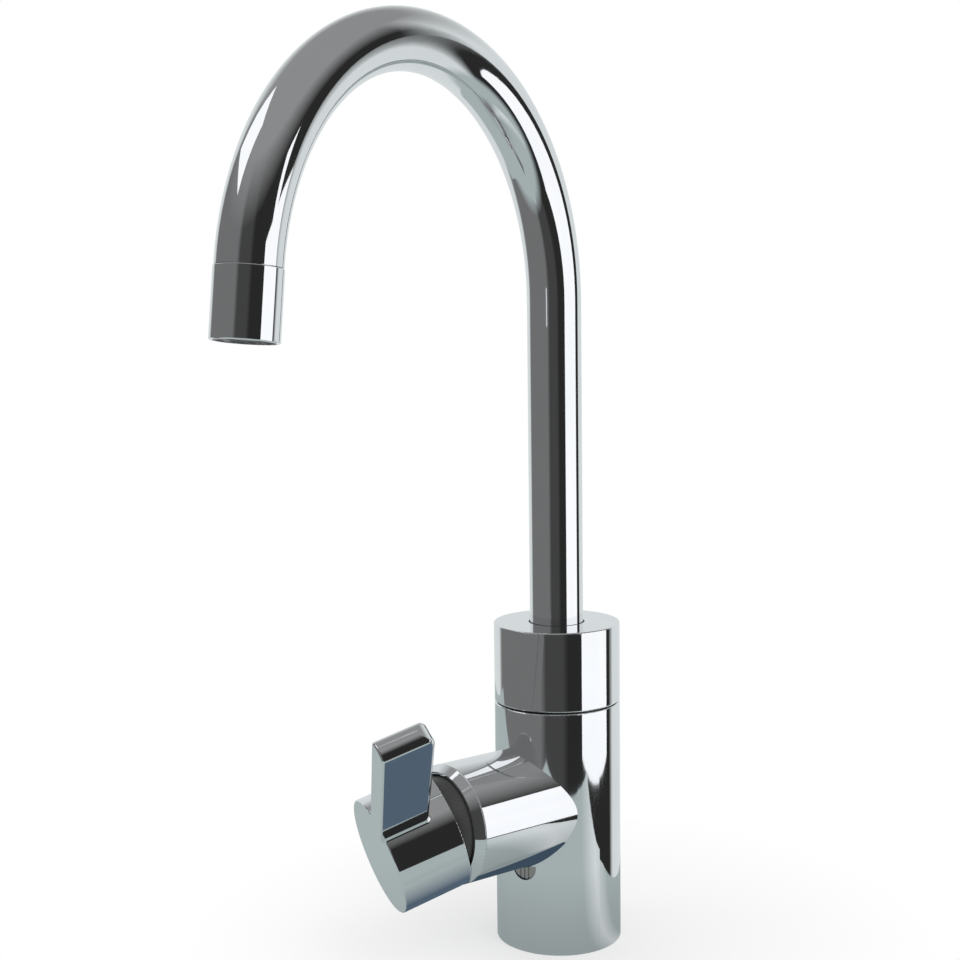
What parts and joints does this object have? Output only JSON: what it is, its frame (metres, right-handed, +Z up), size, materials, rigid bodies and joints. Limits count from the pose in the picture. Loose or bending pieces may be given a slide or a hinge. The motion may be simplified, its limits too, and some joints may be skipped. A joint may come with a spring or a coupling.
{
  "type": "three way filtered water tap",
  "caption": "Single lever kitchen mixer tap with a high swivelling arched spout and a separate filtered water way through its middle.",
  "frame": {"origin": "centre of the round foot, on the worktop", "axes": "+Z up along the body's axis; the spout reaches along -Y at rest; the lever arm leaves 18.5 degrees from -Y towards -X"},
  "size_m": [0.0802, 0.2228, 0.3679],
  "materials": {
    "polished_chrome": "mirror polished chrome plate on brass",
    "plug_metal": "turned and plated, fine radial marks",
    "satin_dome": "satin dark grey",
    "dark_plastic": "matt",
    "grey_plastic": "moulded",
    "cartridge_plastic": "moulded",
    "tube_plastic": "smooth, slightly milky",
    "black_rubber": "matt",
    "raw_brass": "turned",
    "steel": "machined",
    "ceramic": "lapped"
  },
  "bodies": {
    "body": {"body_casting": "polished_chrome", "base_gasket": "black_rubber", "front_plug": "plug_metal", "front_plug_seal": "black_rubber", "cartridge_base": "cartridge_plastic", "port_seals": "black_rubber", "fixed_disc": "ceramic", "cartridge_housing": "cartridge_plastic", "cartridge_nut": "raw_brass", "dome_cover": "satin_dome", "bevel_ring": "polished_chrome", "swivel_glide_ring": "dark_plastic", "swivel_stop_screw": "steel"},
    "spout": {"swivel_collar": "polished_chrome", "spout_spigot": "raw_brass", "spigot_o_rings": "black_rubber", "spout_tube": "polished_chrome", "filtered_water_tube": "tube_plastic", "tube_seat_ring": "dark_plastic", "outlet_sleeve": "polished_chrome", "aerator_seal": "black_rubber", "aerator_housing": "grey_plastic", "flow_straightener": "grey_plastic"},
    "turret": {"turning_carrier": "cartridge_plastic", "stem_pin": "steel"},
    "slider": {"moving_disc": "ceramic", "disc_carrier": "cartridge_plastic"},
    "lever": {"cartridge_stem": "steel", "lever_handle": "polished_chrome", "stem_adapter": "cartridge_plastic", "lever_grub_screw": "steel", "grub_screw_cap": "grey_plastic"}
  },
  "joints": [
    {"name": "spout_swivel", "type": "hinge", "parent": "body", "child": "spout", "pos_m": [0, 0, 0.086], "axis": [0, 0, 1], "range_deg": [-120, 120]},
    {"name": "handle_turn", "type": "hinge", "parent": "body", "child": "turret", "pos_m": [0, 0, 0.0588], "axis": [-0.3173, -0.9483, 0], "range_deg": [-8.6, 91.4]},
    {"name": "handle_tilt", "type": "hinge", "parent": "turret", "child": "lever", "pos_m": [-0.01793, -0.05358, 0.0588], "axis": [0.7113, -0.238, -0.6613], "range_deg": [-22.5, 0]},
    {"name": "disc_slide", "type": "slide", "parent": "turret", "child": "slider", "axis": [0.6271, -0.2098, 0.7501], "range_m": [-0.0067, 0]}
  ],
  "couplings": [
    {"joint": "disc_slide", "follows": "handle_tilt", "m_per_rad": 0.01705}
  ]
}
